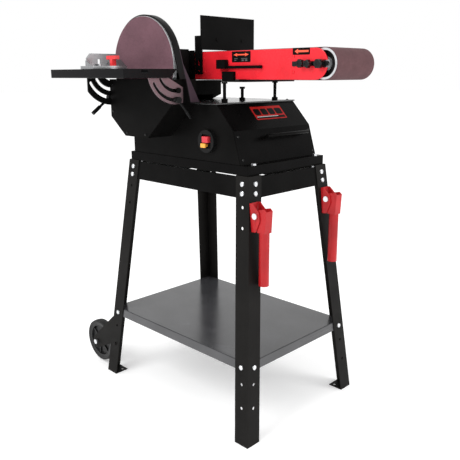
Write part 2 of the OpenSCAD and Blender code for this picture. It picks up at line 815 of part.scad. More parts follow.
module lobed_knob(x, z, lobes) {
    difference() {
        union() {
            ycyl(7, -101, link_y[0] - 0.3, x, z);
            ycyl(8.4, -112, -101, x, z);
            for (i = [0:lobes - 1]) let (a = 360 / lobes * i)
                ycyl(3.1, -112, -101, x + 7 * cos(a), z + 7 * sin(a));
        }
        ycyl(3, -113, -109, x, z);
    }
}
module tracking_knob() {
    color("#101010") lobed_knob(knob_x[0], axis_z + 1, 7);
}
module tracking_lock() {
    color("#101010") lobed_knob(knob_x[1], axis_z, 5);
}
module support_posts() {
    color("#161616") {
        for (p = [post_near, post_far]) {
            zcyl(4.5, shell_top - 8, rest_z[0] - 0.3, p[0], p[1]);
            hex_z(9, plate_z, plate_z + 9, p[0], p[1]);
            zcyl(8, rest_z[0] - 4.3, rest_z[0] - 0.3, p[0], p[1]);
        }
        zcyl(4.5, shell_top - 8, plate_z + 32, 60, 14);
        hex_z(9, plate_z, plate_z + 8, 60, 14);
        hex_z(8, plate_z + 32, plate_z + 38, 60, 14);
    }
}
module work_stop() {
    color("#131313") {
        difference() {
            box([-13, stop_x[1]], [-98.3, -94.3], [axis_z - 22, axis_z + 79]);
            for (z = [axis_z - 13.5, axis_z + 19.5]) ycyl(4.4, -99, -93, 0, z);
            box([-4.4, 4.4], [-99, -93], [axis_z - 13.5, axis_z + 19.5]);
        }
        box(stop_x, [-98.3, 112], [axis_z + 42, axis_z + 131]);
        for (y = [-38, 62]) xcyl(5, stop_x[1], stop_x[1] + 2, y, axis_z + 70);
    }
}

// ---- disc table ----

module table_profile() {
    // cross section in Y and Z with the rear edge bevelled away from the disc
    polygon([[table_y[0], table_z], [table_y[0], table_z - table_t],
        [table_y[1] - table_t, table_z - table_t], [table_y[1], table_z]]);
}
module disc_table() {
    in_z = table_z - table_top_t;
    color("#1f1f20") difference() {
        yz(table_x[0], table_x[1]) table_profile();
        difference() {
            box([table_x[0] + 8, quad_x[1] + quad_t], [table_y[0] + 8, table_y[1] + 20],
                [table_z - table_t - 1, in_z]);
            // bed of the mitre slot
            box([table_x[0] + 8 - eps, table_x[1]], [mitre_y - 16, mitre_y + 16],
                [table_z - 14, in_z + eps]);
        }
        box([table_x[0] - 1, table_x[1] + 1], [mitre_y - mitre_slot_w / 2,
            mitre_y + mitre_slot_w / 2], [table_z - mitre_bar_t - 0.4, table_z + 1]);
    }
}
function polar(r, a) = [pivot_y - r * cos(a), table_z - r * sin(a)];
// band round the table's pivot, between two angles below the table
module arc_slot(r, w, a0, a1) {
    n = 12;
    difference() {
        translate([pivot_y, table_z]) circle(r + w / 2);
        translate([pivot_y, table_z]) circle(r - w / 2);
        polygon(concat([[pivot_y, table_z]], [for (i = [0:n])
            polar(200, a1 + (360 + a0 - a1) * i / n)]));
    }
    for (a = [a0, a1]) translate(polar(r, a)) circle(w / 2);
}
module quadrant_2d(r, front) {
    difference() {
        intersection() {
            translate([pivot_y, table_z]) circle(r);
            translate([pivot_y, table_z]) polygon([[-front, -table_t], [-table_t, -table_t],
                [25, -46], [25, -110], [-front, -110]]);
        }
        for (q = slot_r) arc_slot(q, slot_w, 28, 99);
    }
}
module table_trunnions() {
    color("#5d4a50") for (i = [0, 1])
        yz(quad_x[i], quad_x[i] + quad_t) quadrant_2d(quad_r[i], quad_front[i]);
    // angle flange that bolts up under the table
    color("#2a2a2c") box([quad_x[0] - 16, quad_x[0]], [pivot_y - 78, pivot_y - 46],
        [table_z - table_t, table_z - table_top_t]);
}
module lock_lever(side) {
    p = polar(slot_r[1], lock_angle[1]);
    x = side == 0 ? quad_x[0] - 0.3 : quad_x[1] + quad_t + 0.3;
    d = side == 0 ? -1 : 1;
    color("#161616") translate([x, p[0], p[1]]) scale([d, 1, 1]) difference() {
        union() {
            rotate([0, 90, 0]) cylinder(r = 8, h = 14);
            translate([8, 0, 0]) rotate([side == 0 ? 126 : -137.7, 0, 0]) {
                cylinder(r = side == 0 ? 3.8 : 2.6, h = 60);
                translate([0, 0, side == 0 ? 44 : 40])
                    cylinder(r = side == 0 ? 5.4 : 4, h = side == 0 ? 30 : 24);
            }
        }
        translate([-1, 0, 0]) rotate([0, 90, 0]) cylinder(r = 3.65, h = 5);
    }
}
module lock_lever_left() lock_lever(0);
module lock_lever_right() lock_lever(1);

// ---- mitre gauge ----

module mitre_bar() {
    z = table_z - mitre_bar_t;
    color("#c8cbce") {
        box([-234, -14], [mitre_y - mitre_bar_w / 2, mitre_y + mitre_bar_w / 2], [z - 0.1,
            table_z - 0.1]);
        zcyl(5, table_z - 0.2, table_z + 14, mitre_x, mitre_y);
    }
}
module mitre_head() {
    color("#c8cbce") difference() {
        union() {
            // half-round protractor plate with the fence across its straight edge
            intersection() {
                zcyl(72, table_z + 0.3, table_z + 8, mitre_x, mitre_y);
                box([mitre_x - 8, mitre_x + 76], [mitre_y - 52, mitre_y + 76], [table_z,
                    table_z + 20]);
            }
            yz(mitre_x - 14, mitre_x - 8) polygon([[mitre_y - 31, table_z + 0.3],
                [mitre_y + 94, table_z + 0.3], [mitre_y + 94, table_z + 8],
                [mitre_y + 58, table_z + 40], [mitre_y - 20, table_z + 40],
                [mitre_y - 31, table_z + 28]]);
            for (y = [-34, 34]) xz(mitre_y + y - 2.5, mitre_y + y + 2.5)
                polygon([[mitre_x - 9, table_z + 7], [mitre_x + 17, table_z + 7],
                    [mitre_x - 9, table_z + 22]]);
        }
        zcyl(5.05, table_z - 5, table_z + 30, mitre_x, mitre_y);
        // window for the angle pointer
        box([mitre_x - 15, mitre_x - 7], [mitre_y + 1, mitre_y + 11], [table_z + 14, table_z + 26]);
        // arc slot for the clamp screw
        difference() {
            zcyl(65.5, table_z - 1, table_z + 20, mitre_x, mitre_y);
            zcyl(58.5, table_z - 2, table_z + 21, mitre_x, mitre_y);
            box([mitre_x - 80, mitre_x + 39], [mitre_y - 80, mitre_y + 80], [table_z - 3,
                table_z + 30]);
        }
    }
}
module mitre_knob() {
    color("#e02028") {
        zcyl(2.9, table_z + 0.3, table_z + 9, mitre_knob_x, mitre_y);
        zcyl(8, table_z + 8.3, table_z + 24, mitre_knob_x, mitre_y);
        box([mitre_knob_x - 20, mitre_knob_x + 20], [mitre_y - 6, mitre_y + 6], [table_z + 24 - eps,
            table_z + 33]);
    }
}

// ---- switch ----

module switch_box() {
    color("#121212") {
        difference() {
            ycyl(30, -cab_half_y - 12, -cab_half_y, switch_x, switch_z);
            box([switch_x - 15, switch_x + 19], [-cab_half_y - 13, -cab_half_y - 3],
                [switch_z - 18, switch_z + 18]);
        }
        box([switch_x - 15.5, switch_x + 15.5], [-cab_half_y, -cab_half_y + 34],
            [switch_z - 11.5, switch_z + 11.5]);
    }
}
module switch_paddle() {
    color("#d0242c") box([switch_x - 9, switch_x + 13], [-cab_half_y - 18, -cab_half_y - 5],
        [switch_z - 3, switch_z + 13.5]);
}
module safety_key() {
    color("#f0a020") {
        box([switch_x - 12, switch_x + 5], [-cab_half_y - 20, -cab_half_y - 14],
            [switch_z - 16, switch_z - 5]);
        box([switch_x - 8, switch_x + 1], [-cab_half_y - 14 - eps, -cab_half_y - 3.5],
            [switch_z - 14, switch_z - 7]);
    }
}

leg_front_right();
leg_back_right();
leg_back_left();
leg_front_left();
aprons_long();
aprons_short();
shelf();
stand_bolts();
base_tray();
wheel_brackets();
wheel_axles();
wheel_front();
wheel_back();
handle_brackets();
handle_pins();
handle_front();
handle_back();
cabinet_shell();
cabinet_cover();
top_plate();
cover_pull();
motor();
motor_rotor();
drive_belt();
main_shaft();
driven_pulley();
disc_plate();
abrasive_disc();
drive_drum();
shaft_bearings();
pedestals();
disc_guard();
disc_housing();
pulley_cover();
dust_ports();
belt_hood();
arm_frame();
arm_side_plate();
arm_far_plate();
arm_pivots();
platen();
sanding_belt();
idler_axle();
idler_drum();
tension_lever();
spring_tube();
tracking_knob();
tracking_lock();
support_posts();
work_stop();
disc_table();
table_trunnions();
lock_lever_left();
lock_lever_right();
mitre_bar();
mitre_head();
mitre_knob();
switch_box();
switch_paddle();
safety_key();
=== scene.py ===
import math

import bmesh
import bpy
from mathutils import Matrix, Vector


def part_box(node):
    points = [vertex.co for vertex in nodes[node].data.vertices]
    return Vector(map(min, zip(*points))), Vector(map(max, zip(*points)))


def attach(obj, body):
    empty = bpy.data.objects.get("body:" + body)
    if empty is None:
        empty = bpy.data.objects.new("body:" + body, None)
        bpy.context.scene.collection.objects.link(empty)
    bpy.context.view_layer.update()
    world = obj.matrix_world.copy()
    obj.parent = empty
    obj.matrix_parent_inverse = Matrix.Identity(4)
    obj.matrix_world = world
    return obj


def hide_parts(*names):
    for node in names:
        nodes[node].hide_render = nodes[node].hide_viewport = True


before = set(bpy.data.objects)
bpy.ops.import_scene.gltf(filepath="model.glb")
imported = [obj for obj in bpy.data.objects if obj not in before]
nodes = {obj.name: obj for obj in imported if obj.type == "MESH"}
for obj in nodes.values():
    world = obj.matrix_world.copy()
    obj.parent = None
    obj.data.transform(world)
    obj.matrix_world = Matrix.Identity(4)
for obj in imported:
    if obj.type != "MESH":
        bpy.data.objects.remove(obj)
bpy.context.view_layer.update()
MM = 0.001

# ---------------------------------------------------------------- materials


def put(tree, socket, value):
    """Links an input to another node's output, or sets its value."""
    if isinstance(value, bpy.types.NodeSocket):
        tree.links.new(value, socket)
    else:
        socket.default_value = value


def node(tree, kind, **inputs):
    """A new shader node with its input values set; a value that is a socket is linked."""
    n = tree.nodes.new(kind)
    for key, value in inputs.items():
        name = key.replace("_", " ")
        if name in n.inputs:
            put(tree, n.inputs[name], value)
        else:
            setattr(n, key, value)
    return n


def ramp(tree, fac, stops):
    """A colour ramp through the stops, each a position and a colour."""
    n = tree.nodes.new("ShaderNodeValToRGB")
    tree.links.new(fac, n.inputs[0])
    e = n.color_ramp.elements
    while len(e) < len(stops):
        e.new(0.5)
    for i, (pos, col) in enumerate(stops):
        e[i].position = pos
        e[i].color = (*col, 1)
    return n.outputs["Color"]


def grey(v):
    return (v, v, v)


def coords(tree, scale=(1, 1, 1)):
    """Object coordinates, scaled along each axis."""
    tc = tree.nodes.new("ShaderNodeTexCoord")
    mp = node(tree, "ShaderNodeMapping", Vector=tc.outputs["Object"])
    mp.inputs["Scale"].default_value = scale
    return mp.outputs["Vector"]


def noise(tree, scale, detail=3.0, rough=0.55, stretch=(1, 1, 1)):
    n = node(tree, "ShaderNodeTexNoise", Vector=coords(tree, stretch))
    n.inputs["Scale"].default_value = scale
    n.inputs["Detail"].default_value = detail
    n.inputs["Roughness"].default_value = rough
    return n.outputs["Fac"]


def bump(tree, height, distance, strength=1.0):
    b = node(tree, "ShaderNodeBump", Height=height, Strength=strength, Distance=distance)
    return b.outputs["Normal"]


def material(name, color, **fixed):
    """A new material with one colour and fixed shader values; returns it, its tree and shader."""
    m = bpy.data.materials.new(name)
    m.use_nodes = True
    m.diffuse_color = (*color, 1)
    t = m.node_tree
    s = t.nodes["Principled BSDF"]
    s.inputs["Base Color"].default_value = (*color, 1)
    for key, value in fixed.items():
        s.inputs[key.replace("_", " ")].default_value = value
    return m, t, s


def tint(t, fac, a, b, mode="MIX"):
    """Mixes two colours, each three numbers or a socket."""
    m = t.nodes.new("ShaderNodeMix")
    m.data_type = "RGBA"
    m.blend_type = mode
    put(t, m.inputs["Factor"], fac)
    for name, value in (("A", a), ("B", b)):
        put(t, m.inputs[name], (*value, 1) if isinstance(value, tuple) else value)
    return m.outputs["Result"]


def calc(t, operation, a, b):
    """A Math node on two values, each a number or a socket."""
    n = node(t, "ShaderNodeMath", operation=operation)
    put(t, n.inputs[0], a)
    put(t, n.inputs[1], b)
    return n.outputs[0]


def roughen(t, s, fac, low, high):
    """Roughness that goes from low to high with a factor."""
    t.links.new(ramp(t, fac, [(0.3, grey(low)), (0.7, grey(high))]), s.inputs["Roughness"])


def coat(name, color, rough=(0.34, 0.46), level=0.35, peel=0.00006, dust=0.02, grain=900,
         coat_layer=0.0, coat_rough=0.12):
    """Powder coat: orange-peel bump, faint cloudy colour and gloss changes, dust specks."""
    m, t, s = material(name, color, Specular_IOR_Level=level, Coat_Weight=coat_layer,
                       Coat_Roughness=coat_rough)
    cloud = noise(t, 9, 5)
    lift = tuple(min(1.0, c * 1.3 + 0.0012) for c in color)
    low = tuple(c * 0.82 for c in color)
    base = tint(t, ramp(t, cloud, [(0.3, grey(0)), (0.7, grey(1))]), low, lift)
    speck = ramp(t, noise(t, 650, 2), [(0.70, grey(0)), (0.78, grey(1))])
    dusty = tint(t, calc(t, "MULTIPLY", speck, dust * 4), base,
                 tuple(min(1, c + 0.05) for c in color))
    t.links.new(dusty, s.inputs["Base Color"])
    roughen(t, s, noise(t, 22, 4), *rough)
    t.links.new(bump(t, noise(t, grain, 2), peel), s.inputs["Normal"])
    return m


def metal(name, color, rough=(0.22, 0.38), stretch=(1, 1, 1), scale=300, depth=0.00004,
          metallic=1.0, level=0.5):
    """Bare or plated metal with fine tool marks along one direction."""
    m, t, s = material(name, color, Metallic=metallic, Specular_IOR_Level=level)
    marks = noise(t, scale, 4, 0.6, stretch)
    t.links.new(tint(t, ramp(t, marks, [(0.25, grey(0)), (0.75, grey(1))]),
                     tuple(c * 0.82 for c in color), tuple(min(1, c * 1.1) for c in color)),
                s.inputs["Base Color"])
    roughen(t, s, marks, *rough)
    t.links.new(bump(t, marks, depth), s.inputs["Normal"])
    return m


def plastic(name, color, rough=(0.35, 0.5), level=0.4):
    """Moulded plastic with a fine spark texture."""
    m, t, s = material(name, color, Specular_IOR_Level=level)
    t.links.new(tint(t, noise(t, 35, 4), tuple(c * 0.86 for c in color),
                     tuple(min(1, c * 1.12 + 0.001) for c in color)), s.inputs["Base Color"])
    roughen(t, s, noise(t, 60, 3), *rough)
    t.links.new(bump(t, noise(t, 700, 2), 0.00005), s.inputs["Normal"])
    return m


def abrasive(name, base, dark, light, streak=(1, 1, 1)):
    """Resin-bonded grit on cloth: packed grains, colour speckle, faint loading streaks."""
    m, t, s = material(name, base, Specular_IOR_Level=0.25, Roughness=0.85)
    v = node(t, "ShaderNodeTexVoronoi", Vector=coords(t), Scale=1250.0, Randomness=1.0)
    grains = v.outputs["Distance"]
    colour = ramp(t, noise(t, 900, 3, 0.7), [(0.30, dark), (0.52, base), (0.74, light)])
    clouds = ramp(t, noise(t, 14, 5, 0.6, streak), [(0.32, grey(0.80)), (0.68, grey(1.06))])
    t.links.new(tint(t, 1.0, colour, clouds, "MULTIPLY"), s.inputs["Base Color"])
    t.links.new(ramp(t, grains, [(0.0, grey(0.62)), (0.8, grey(0.95))]), s.inputs["Roughness"])
    t.links.new(bump(t, grains, 0.00012, 0.8), s.inputs["Normal"])
    return m


def rubber(name, color):
    """Dull rubber with coarse grain."""
    m, t, s = material(name, color, Specular_IOR_Level=0.3)
    t.links.new(tint(t, noise(t, 40, 5), tuple(c * 0.7 for c in color),
                     tuple(c * 1.6 + 0.006 for c in color)), s.inputs["Base Color"])
    roughen(t, s, noise(t, 80, 4), 0.55, 0.8)
    t.links.new(bump(t, noise(t, 420, 3), 0.00015), s.inputs["Normal"])
    return m


def quadrants():
    """Bare metal right quadrant tinted mauve brown as a painted reflection of the disc, black left
    one, told apart by their place along X.
    """
    m, t, s = material("quadrant_steel_painted_reflection", (0.16, 0.10, 0.11), Metallic=0.5,
                       Specular_IOR_Level=0.35)
    tc = t.nodes.new("ShaderNodeTexCoord")
    sep = node(t, "ShaderNodeSeparateXYZ", Vector=tc.outputs["Generated"])
    where = ramp(t, sep.outputs["X"], [(0.48, grey(0)), (0.52, grey(1))])
    marks = noise(t, 400, 4)
    # painted reflection: the mauve-brown tint of the right quadrant stands in for the disc
    # reflected in its bare metal
    painted_disc_reflection = tint(t, marks, (0.115, 0.072, 0.082), (0.20, 0.135, 0.15))
    t.links.new(tint(t, where, grey(0.006), painted_disc_reflection), s.inputs["Base Color"])
    roughen(t, s, marks, 0.34, 0.5)
    t.links.new(bump(t, marks, 0.00003), s.inputs["Normal"])
    return m


def guard():
    """Black coat, with a painted mauve-grey sheen on the sloping side sheet behind the ring."""
    sheet_normal = (0.958, 0, 0.287)
    ring_depth = 19.5
    m, t, s = material("guard_black_painted_sheen", (0.0052, 0.0050, 0.0052), Specular_IOR_Level=0.07)
    tc = t.nodes.new("ShaderNodeTexCoord")
    facing = node(t, "ShaderNodeVectorMath", operation="DOT_PRODUCT")
    t.links.new(tc.outputs["Normal"], facing.inputs[0])
    facing.inputs[1].default_value = sheet_normal
    place = node(t, "ShaderNodeSeparateXYZ", Vector=tc.outputs["Object"])
    behind = calc(t, "GREATER_THAN", place.outputs["Y"],
                  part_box("disc_guard")[0].y + ring_depth * MM)
    along = ramp(t, facing.outputs["Value"], [(0.985, grey(0)), (0.995, grey(1))])
    side = calc(t, "MULTIPLY", along, behind)
    # painted sheen: the sloping side sheet behind the ring is coloured mauve grey instead of black,
    # standing in for the sheen on it
    t.links.new(tint(t, side, (0.0046, 0.0044, 0.0046), (0.046, 0.031, 0.041)),
                s.inputs["Base Color"])
    roughen(t, s, noise(t, 22, 4), 0.32, 0.44)
    t.links.new(bump(t, noise(t, 900, 2), 0.00006), s.inputs["Normal"])
    return m


M = {
    "black": coat("powder_black", (0.0034, 0.0032, 0.0031), (0.36, 0.50), 0.03),
    "leg": coat("leg_black", (0.0066, 0.0060, 0.0055), (0.40, 0.54), 0.07, 0.00009, 0.03, 700),
    "gloss": coat("gloss_black", (0.0024, 0.0022, 0.0022), (0.24, 0.34), 0.03, 0.00004),
    "plate": coat("plate_black", (0.0100, 0.0100, 0.0104), (0.18, 0.27), 0.7, 0.00002,
                  coat_layer=0.5, coat_rough=0.25),
    "shelf": coat("shelf_black", (0.040, 0.040, 0.043), (0.17, 0.26), 0.62, 0.00004, 0.05),
    "guard": guard(),
    "red": coat("red_coat", (0.72, 0.016, 0.027), (0.24, 0.34), 0.28, 0.00004, 0.01),
    "handle": coat("handle_red", (0.40, 0.010, 0.013), (0.30, 0.42), 0.26, 0.00005, 0.01),
    "iron": metal("blued_iron", (0.0052, 0.0051, 0.0057), (0.28, 0.40), (1, 8, 1), 90, 0.00003,
                  metallic=0.1, level=0.06),
    "quadrant": quadrants(),
    "zinc": metal("zinc", (0.74, 0.75, 0.77), (0.20, 0.34), (1, 1, 1), 500, 0.00003),
    "steel": metal("turned_steel", (0.66, 0.67, 0.69), (0.20, 0.34), (1, 30, 1), 60, 0.00003),
    "ring": metal("drum_ring", (0.58, 0.59, 0.61), (0.24, 0.36), (1, 40, 1), 60, 0.00002, 0.55),
    "rim": metal("disc_rim", (0.72, 0.73, 0.75), (0.24, 0.36), (1, 40, 1), 60, 0.00002, 0.55),
    "cast": metal("die_cast", (0.33, 0.334, 0.342), (0.32, 0.48), (1, 1, 1), 420, 0.00012, 0.75),
    "grit": abrasive("disc_grit", (0.150, 0.073, 0.092), (0.088, 0.040, 0.052),
                     (0.230, 0.124, 0.150)),
    "belt": abrasive("belt_grit", (0.110, 0.050, 0.055), (0.067, 0.029, 0.033),
                     (0.161, 0.084, 0.090), (0.4, 3, 3)),
    "rubber": rubber("tyre_rubber", (0.009, 0.009, 0.009)),
    "hub": plastic("hub_plastic", (0.009, 0.009, 0.0095), (0.38, 0.5), 0.25),
    "plastic": plastic("black_plastic", (0.0050, 0.0050, 0.0052), (0.30, 0.44), 0.12),
    "knob": plastic("knob_black", (0.0040, 0.0040, 0.0044), (0.18, 0.30), 0.26),
    "red_plastic": plastic("red_plastic", (0.78, 0.030, 0.035), (0.25, 0.38)),
    "paddle": plastic("paddle_red", (0.62, 0.035, 0.050), (0.25, 0.36)),
    "yellow": plastic("key_amber", (0.93, 0.42, 0.055), (0.28, 0.4)),
    "motor": coat("motor_grey", (0.20, 0.21, 0.22), (0.40, 0.5)),
    "label_black": plastic("label_black", (0.0040, 0.0038, 0.0040), (0.28, 0.36), 0.04),
    "label_red": plastic("label_red", (0.44, 0.014, 0.012), (0.28, 0.36), 0.05),
    "label_white": plastic("label_white", (0.62, 0.62, 0.62), (0.32, 0.4)),
    "label_grey": plastic("label_grey", (0.09, 0.09, 0.09), (0.32, 0.4)),
    "label_orange": plastic("label_orange", (0.90, 0.10, 0.045), (0.3, 0.4)),
}

LOOK = {
    "leg_front_right": "leg", "leg_back_right": "leg", "leg_back_left": "leg",
    "leg_front_left": "leg", "aprons_long": "black", "aprons_short": "black", "shelf": "shelf",
    "stand_bolts": "zinc", "base_tray": "gloss", "wheel_brackets": "leg", "wheel_axles": "zinc",
    "wheel_front": "hub", "wheel_back": "hub", "handle_brackets": "handle",
    "handle_pins": "zinc", "handle_front": "handle", "handle_back": "handle",
    "cabinet_shell": "black", "cabinet_cover": "gloss", "top_plate": "plate",
    "cover_pull": "gloss", "motor": "motor", "motor_rotor": "steel", "drive_belt": "rubber",
    "main_shaft": "steel", "driven_pulley": "cast", "disc_plate": "rim", "abrasive_disc": "grit",
    "drive_drum": "cast", "shaft_bearings": "steel", "pedestals": "black",
    "disc_guard": "guard", "disc_housing": "black", "pulley_cover": "black",
    "dust_ports": "plastic", "belt_hood": "black", "arm_frame": "black",
    "arm_side_plate": "red", "arm_far_plate": "black", "arm_pivots": "black",
    "platen": "steel", "sanding_belt": "belt", "idler_axle": "knob", "idler_drum": "ring",
    "tension_lever": "black", "spring_tube": "zinc", "tracking_knob": "knob",
    "tracking_lock": "knob", "support_posts": "black", "work_stop": "black",
    "disc_table": "iron", "table_trunnions": "quadrant", "lock_lever_left": "plastic",
    "lock_lever_right": "plastic", "mitre_bar": "steel", "mitre_head": "cast",
    "mitre_knob": "red_plastic", "switch_box": "plastic", "switch_paddle": "paddle",
    "safety_key": "yellow",
}
# width of the softened edges on a node, in millimetres
SOFT = {"disc_table": 1.2, "base_tray": 2.2, "cabinet_cover": 0.9, "cabinet_shell": 0.9,
        "top_plate": 1.0, "arm_side_plate": 0.8, "handle_front": 0.9, "handle_back": 0.9,
        "handle_brackets": 0.8, "disc_housing": 1.0, "mitre_head": 1.0, "mitre_knob": 1.4,
        "work_stop": 0.8, "shelf": 0.8, "safety_key": 1.2, "switch_paddle": 1.5,
        "cover_pull": 1.2, "lock_lever_left": 0.8, "lock_lever_right": 0.8, "belt_hood": 1.0,
        "disc_guard": 0.6, "tension_lever": 0.8, "arm_pivots": 0.7, "pulley_cover": 1.0}


def soften(ob, width):
    """Welds the mesh and rounds its sharp edges by a width in millimetres."""
    weld = ob.modifiers.new("weld", "WELD")
    weld.merge_threshold = 0.00002
    bev = ob.modifiers.new("bevel", "BEVEL")
    bev.width = width * MM
    bev.segments = 2
    bev.limit_method = "ANGLE"
    bev.angle_limit = math.radians(28)
    bev.use_clamp_overlap = True


def dress(ob, mat):
    ob.data.materials.clear()
    ob.data.materials.append(mat)


for name, look in LOOK.items():
    dress(nodes[name], M[look])
    if name in SOFT:
        soften(nodes[name], SOFT[name])

# ---------------------------------------------------------------- mesh helpers


def make(name, bm, mat, body, smooth=True):
    """Turns mesh code into a piece with a material, riding on a body."""
    bmesh.ops.recalc_face_normals(bm, faces=bm.faces)
    me = bpy.data.meshes.new(name)
    bm.to_mesh(me)
    bm.free()
    if smooth:
        me.shade_smooth()
        me.set_sharp_from_angle(angle=math.radians(32))
    ob = bpy.data.objects.new(name, me)
    bpy.context.scene.collection.objects.link(ob)
    me.materials.append(M[mat])
    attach(ob, body)
    return ob


def prism(bm, pts, depth):
    """A closed outline in 3D, extruded by the vector depth."""
    bottom = [bm.verts.new(p) for p in pts]
    top = [bm.verts.new(Vector(p) + Vector(depth)) for p in pts]
    bm.faces.new(bottom)
    bm.faces.new(list(reversed(top)))
    n = len(pts)
    for i in range(n):
        bm.faces.new([bottom[i], top[i], top[(i + 1) % n], bottom[(i + 1) % n]])


def lathe(bm, profile, place, seg=48):
    """A closed profile of (radius, height), turned about local Z and placed by a matrix."""
    rings = []
    for k in range(seg):
        a = 2 * math.pi * k / seg
        rings.append([None if r < 1e-7 else bm.verts.new(
            place @ Vector((r * math.cos(a), r * math.sin(a), h))) for r, h in profile])
    poles = {i: bm.verts.new(place @ Vector((0, 0, h)))
             for i, (r, h) in enumerate(profile) if r < 1e-7}
    n = len(profile)
    for k in range(seg):
        a, b = rings[k], rings[(k + 1) % seg]
        for i in range(n):
            j = (i + 1) % n
            corners = [poles.get(i, a[i]), poles.get(j, a[j]), poles.get(j, b[j]),
                       poles.get(i, b[i])]
            uniq = []
            for c in corners:
                if c is not None and c not in uniq:
                    uniq.append(c)
            if len(uniq) > 2:
                bm.faces.new(uniq)


def aim(origin, axis):
    """A matrix that puts local Z along axis at origin (metres)."""
    q = Vector((0, 0, 1)).rotation_difference(Vector(axis))
    return Matrix.Translation(Vector(origin)) @ q.to_matrix().to_4x4()


# ---------------------------------------------------------------- details


# thickness of a label's sheet, and of the shapes printed on it, in millimetres
SHEET = 0.25
PRINT = 0.12
THIN_PRINT = 0.1


def at(*mm):
    """A point or step given in millimetres."""
    return Vector(mm) * MM


def rounded(u0, v0, u1, v1, r, steps=5):
    """Outline of a rectangle with rounded corners, as (u, v) pairs."""
    out = []
    for cu, cv, a0 in ((u1 - r, v1 - r, 0), (u0 + r, v1 - r, 90), (u0 + r, v0 + r, 180),
                       (u1 - r, v0 + r, 270)):
        for k in range(steps + 1):
            a = math.radians(a0 + 90 * k / steps)
            out.append((cu + r * math.cos(a), cv + r * math.sin(a)))
    return out


def decal(name, pts, place, lift, mat, body, thick=SHEET):
    """A thin flat sheet cut to an outline, standing lift millimetres off a face."""
    bm = bmesh.new()
    up = place.to_3x3() @ Vector((0, 0, 1))
    prism(bm, [place @ Vector((u * MM, v * MM, lift * MM)) for u, v in pts],
          up * thick * MM)
    return make(name, bm, mat, body, smooth=False)


def frame_at(origin, u, v):
    """A matrix with local X and Y along u and v, for outlines laid on a face."""
    u, v = Vector(u).normalized(), Vector(v).normalized()
    w = u.cross(v)
    m = Matrix((u, v, w)).transposed().to_4x4()
    m.translation = Vector(origin)
    return m


def arrow(u0, u1, v, body_h, head):
    """Outline of an arrow that points from u0 to u1."""
    d = 1 if u1 > u0 else -1
    k = u1 - d * head
    return [(u0, v - body_h / 2), (k, v - body_h / 2), (k, v - body_h * 1.25), (u1, v),
            (k, v + body_h * 1.25), (k, v + body_h / 2), (u0, v + body_h / 2)]


def lobed_knob(name, body, centre, y, r, amp, lobes, node_name=None):
    """Moulded knob on an axis along -Y, between y[0] at the front and y[1] at its foot."""
    rows = [(0.0, y[1]), (0.58, y[1]), (0.58, y[1] - 2.4), (0.92, y[1] - 2.8),
            (1.0, y[1] - 3.8), (1.0, y[0] + 1.9), (0.96, y[0] + 0.7), (0.86, y[0] + 0.1),
            (0.70, y[0]), (0.36, y[0]), (0.31, y[0] + 1.0), (0.0, y[0] + 1.0)]
    bm = bmesh.new()
    count = 12 * lobes
    rings = []
    for s, yy in rows:
        ring = []
        for k in range(count if s > 0 else 1):
            a = 2 * math.pi * k / count
            wave = 1 + (amp * math.cos(lobes * a) if s > 0.8 else 0)
            ring.append(bm.verts.new(at(centre[0] + r * s * wave * math.cos(a), yy,
                                        centre[1] + r * s * wave * math.sin(a))))
        rings.append(ring)
    for a, b in zip(rings, rings[1:]):
        for k in range(count):
            n = (k + 1) % count
            quad = [a[k % len(a)], a[n % len(a)], b[n % len(b)], b[k % len(b)]]
            bm.faces.new(list(dict.fromkeys(quad)))
    ob = make(name, bm, "knob", body)
    if node_name:
        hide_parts(node_name)
    return ob


def screw(bm, origin, axis, r=4.0, h=2.2):
    """Low domed screw head with a recessed middle."""
    prof = [(0, 0), (r, 0), (r, h * 0.35), (r * 0.86, h * 0.75), (r * 0.5, h),
            (r * 0.38, h), (r * 0.30, h * 0.45), (0, h * 0.45)]
    lathe(bm, [(a * MM, b * MM) for a, b in prof], aim(at(*origin), axis), 24)


def screws(name, spots, mat, body, r=4.0, h=2.2):
    bm = bmesh.new()
    for origin, axis in spots:
        screw(bm, origin, axis, r, h)
    return make(name, bm, mat, body)


def middle(name, i):
    """Middle of a CAD node's box along axis i, in millimetres."""
    lo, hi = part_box(name)
    return (lo[i] + hi[i]) / 2 / MM


def edge(name, i, end):
    """Low (end 0) or high (end 1) side of a CAD node's box along axis i, in millimetres."""
    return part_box(name)[end][i] / MM


AXIS_Z = middle("main_shaft", 2)
IDLER_X = middle("idler_drum", 0)
ARM_Y = edge("arm_side_plate", 1, 0)
HOUSE_Y = edge("disc_housing", 1, 0)
PLATE_Z = edge("top_plate", 2, 1)
COVER_X = edge("cabinet_cover", 0, 1)
TRAY_Z = edge("cabinet_cover", 2, 0)
BACK_Y = edge("cabinet_shell", 1, 1)
SWITCH = (middle("switch_box", 0), edge("switch_box", 1, 0), middle("switch_box", 2))
KNOB_Y = edge("tracking_knob", 1, 0)
# how far the lower slope of the cover leans in over its height
SLOPE = (26, 84.5)

